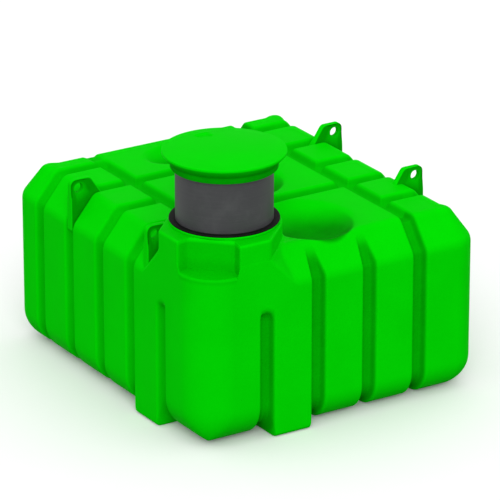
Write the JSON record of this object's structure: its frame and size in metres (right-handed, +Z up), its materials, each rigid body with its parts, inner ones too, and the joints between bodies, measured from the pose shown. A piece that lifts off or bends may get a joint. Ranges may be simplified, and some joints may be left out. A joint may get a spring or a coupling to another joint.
{
  "type": "underground water tank",
  "caption": "Low ribbed plastic water tank for burying, with a tower at one corner that carries a telescoping riser shaft under a push-on lid.",
  "frame": {"origin": "middle of the tank's footprint, on the ground", "axes": "+Z up, +Y along the length from the tower's end to the far end, +X across, away from the tower"},
  "size_m": [2.14, 2.4, 1.875],
  "materials": {
    "tank_plastic": "moulded polyethylene, satin",
    "lid_plastic": "moulded polyethylene, satin",
    "riser_plastic": "extruded pipe, dull",
    "seal_rubber": "matt"
  },
  "bodies": {
    "tank": {"floor": "tank_plastic", "front_heel": "tank_plastic", "right_heel": "tank_plastic", "back_heel": "tank_plastic", "left_heel": "tank_plastic", "front_foot": "tank_plastic", "left_foot": "tank_plastic", "front_wall": "tank_plastic", "right_wall": "tank_plastic", "back_wall": "tank_plastic", "left_wall": "tank_plastic", "front_shoulder": "tank_plastic", "right_shoulder": "tank_plastic", "back_shoulder": "tank_plastic", "left_shoulder": "tank_plastic", "deck_left": "tank_plastic", "deck_right": "tank_plastic", "deck_front": "tank_plastic", "deck_middle": "tank_plastic", "deck_back": "tank_plastic", "tower_skirt": "tank_plastic", "neck_tower": "tank_plastic", "neck_collar": "tank_plastic", "lug_left_back": "tank_plastic", "lug_right_back": "tank_plastic", "lug_left_front": "tank_plastic", "lug_right_front": "tank_plastic", "neck_seal": "seal_rubber"},
    "riser": {"riser": "riser_plastic", "lid": "lid_plastic"}
  },
  "joints": [
    {"name": "riser_slide", "type": "slide", "parent": "tank", "child": "riser", "axis": [0, 0, 1], "range_m": [-0.25, 0.15]}
  ]
}
